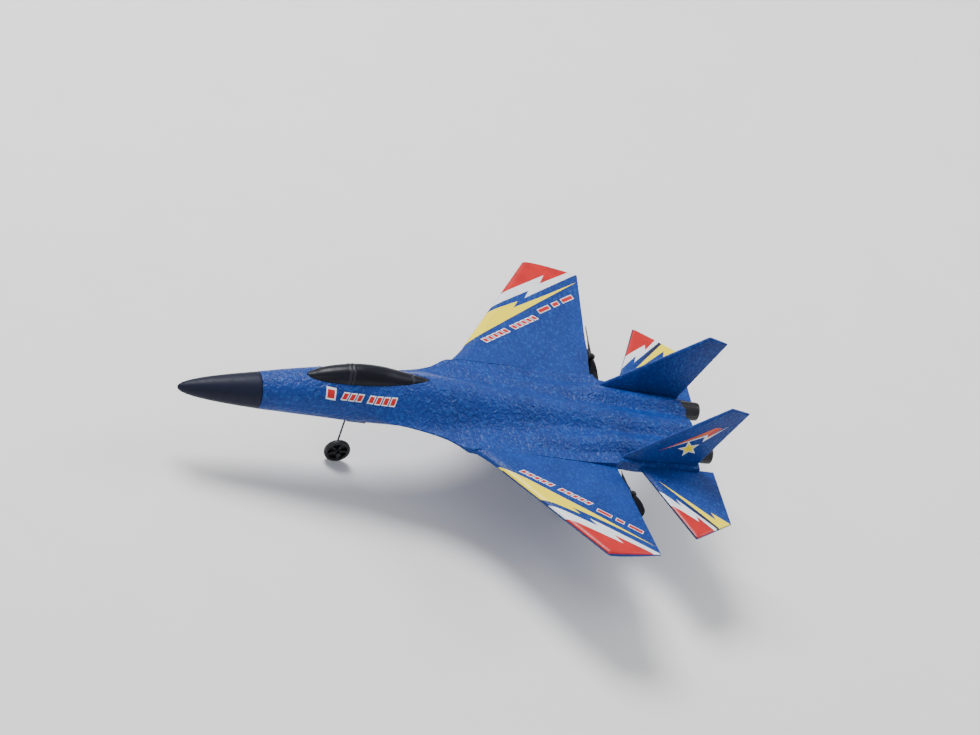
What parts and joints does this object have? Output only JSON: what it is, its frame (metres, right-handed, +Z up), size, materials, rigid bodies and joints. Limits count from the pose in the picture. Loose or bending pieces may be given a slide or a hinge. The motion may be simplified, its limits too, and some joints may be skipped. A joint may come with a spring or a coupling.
{
  "type": "rc foam airplane",
  "caption": "Radio-controlled foam jet with swept wings, upright fins, pusher propellers, a wire undercarriage and a hinged belly battery hatch.",
  "frame": {"origin": "on the ground under the wheels, at the centre of the bounding box in X and Y", "axes": "+Z up, the nose points along -Y, +X is the pilot's left wing"},
  "size_m": [0.2628, 0.36, 0.1136],
  "materials": {
    "foam": "pebbled moulded foam, satin",
    "nose_plastic": "fine satin",
    "canopy_plastic": "gloss",
    "black_plastic": "satin",
    "prop_plastic": "semi-gloss",
    "wheel_plastic": "semi-gloss",
    "motor_steel": "drawn and plated",
    "white_plastic": "moulded",
    "steel": "drawn wire",
    "lead_insulation": "satin",
    "aerial_insulation": "satin",
    "battery_foil": "wrapped foil",
    "circuit_board": "solder mask",
    "switch_steel": "plated"
  },
  "bodies": {
    "airframe": {"fuselage_top": "foam", "fuselage_bottom": "foam", "wing_left": "foam", "wing_right": "foam", "stabilizer_left": "foam", "stabilizer_right": "foam", "fin_left": "foam", "fin_right": "foam", "nose_cone": "nose_plastic", "canopy": "canopy_plastic", "exhaust_left": "black_plastic", "motor_sleeve_left": "black_plastic", "motor_left": "motor_steel", "motor_cap_left": "white_plastic", "motor_lead_left": "lead_insulation", "main_gear_base_left": "black_plastic", "main_gear_leg_left": "steel", "main_wheel_collar_left": "black_plastic", "exhaust_right": "black_plastic", "motor_sleeve_right": "black_plastic", "motor_right": "motor_steel", "motor_cap_right": "white_plastic", "motor_lead_right": "lead_insulation", "main_gear_base_right": "black_plastic", "main_gear_leg_right": "steel", "main_wheel_collar_right": "black_plastic", "battery_tray": "black_plastic", "hatch_pin": "steel", "battery_pack": "battery_foil", "battery_plug": "white_plastic", "battery_lead": "lead_insulation", "receiver_board": "circuit_board", "board_screw_1": "steel", "board_screw_2": "steel", "aerial_wire": "aerial_insulation", "switch_body": "switch_steel", "nose_gear_base": "black_plastic", "nose_gear_leg": "steel", "nose_wheel_collar": "black_plastic"},
    "left_propeller": {"motor_shaft_left": "steel", "propeller_left": "prop_plastic"},
    "left_main_wheel": {"main_wheel_left": "wheel_plastic"},
    "right_propeller": {"motor_shaft_right": "steel", "propeller_right": "prop_plastic"},
    "right_main_wheel": {"main_wheel_right": "wheel_plastic"},
    "hatch": {"battery_hatch": "black_plastic"},
    "switch": {"switch_slider": "black_plastic"},
    "nose_wheel": {"nose_wheel": "wheel_plastic"}
  },
  "joints": [
    {"name": "left_propeller_spin", "type": "hinge", "parent": "airframe", "child": "left_propeller", "pos_m": [0.062, 0.1116, 0.05812], "axis": [0, 1, 0], "continuous": true},
    {"name": "right_propeller_spin", "type": "hinge", "parent": "airframe", "child": "right_propeller", "pos_m": [-0.062, 0.1116, 0.05812], "axis": [0, 1, 0], "continuous": true},
    {"name": "nose_wheel_roll", "type": "hinge", "parent": "airframe", "child": "nose_wheel", "pos_m": [0, -0.0586, 0.0084], "axis": [1, 0, 0], "continuous": true},
    {"name": "left_main_wheel_roll", "type": "hinge", "parent": "airframe", "child": "left_main_wheel", "pos_m": [0.023, 0.102, 0.0084], "axis": [1, 0, 0], "continuous": true},
    {"name": "right_main_wheel_roll", "type": "hinge", "parent": "airframe", "child": "right_main_wheel", "pos_m": [-0.023, 0.102, 0.0084], "axis": [1, 0, 0], "continuous": true},
    {"name": "hatch_hinge", "type": "hinge", "parent": "airframe", "child": "hatch", "pos_m": [-0.0113, 0.045, 0.0386], "axis": [0, 1, 0], "range_deg": [0, 100]},
    {"name": "switch_slide", "type": "slide", "parent": "airframe", "child": "switch", "axis": [1, 0, 0], "range_m": [0, 0.0025]}
  ]
}
